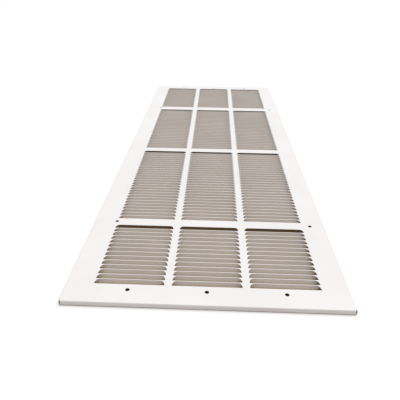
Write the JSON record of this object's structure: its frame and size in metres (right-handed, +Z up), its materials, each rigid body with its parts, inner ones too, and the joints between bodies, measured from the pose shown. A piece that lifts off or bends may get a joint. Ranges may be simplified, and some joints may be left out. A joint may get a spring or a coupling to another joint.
{
  "type": "return air grille",
  "caption": "Flat stamped steel air grille with banks of bent-down louvres, a folded rim and plain screw holes in its border.",
  "frame": {"origin": "below the middle of the face, at the level of the louvres' lowest edges", "axes": "+X across the face, +Y along its length, +Z up out of the face that shows in the room"},
  "size_m": [0.3492, 0.9588, 0.0074],
  "materials": {
    "white_powder_coat": "semi-gloss powder coat"
  },
  "bodies": {
    "root": {"grille_panel": "white_powder_coat"}
  },
  "joints": []
}
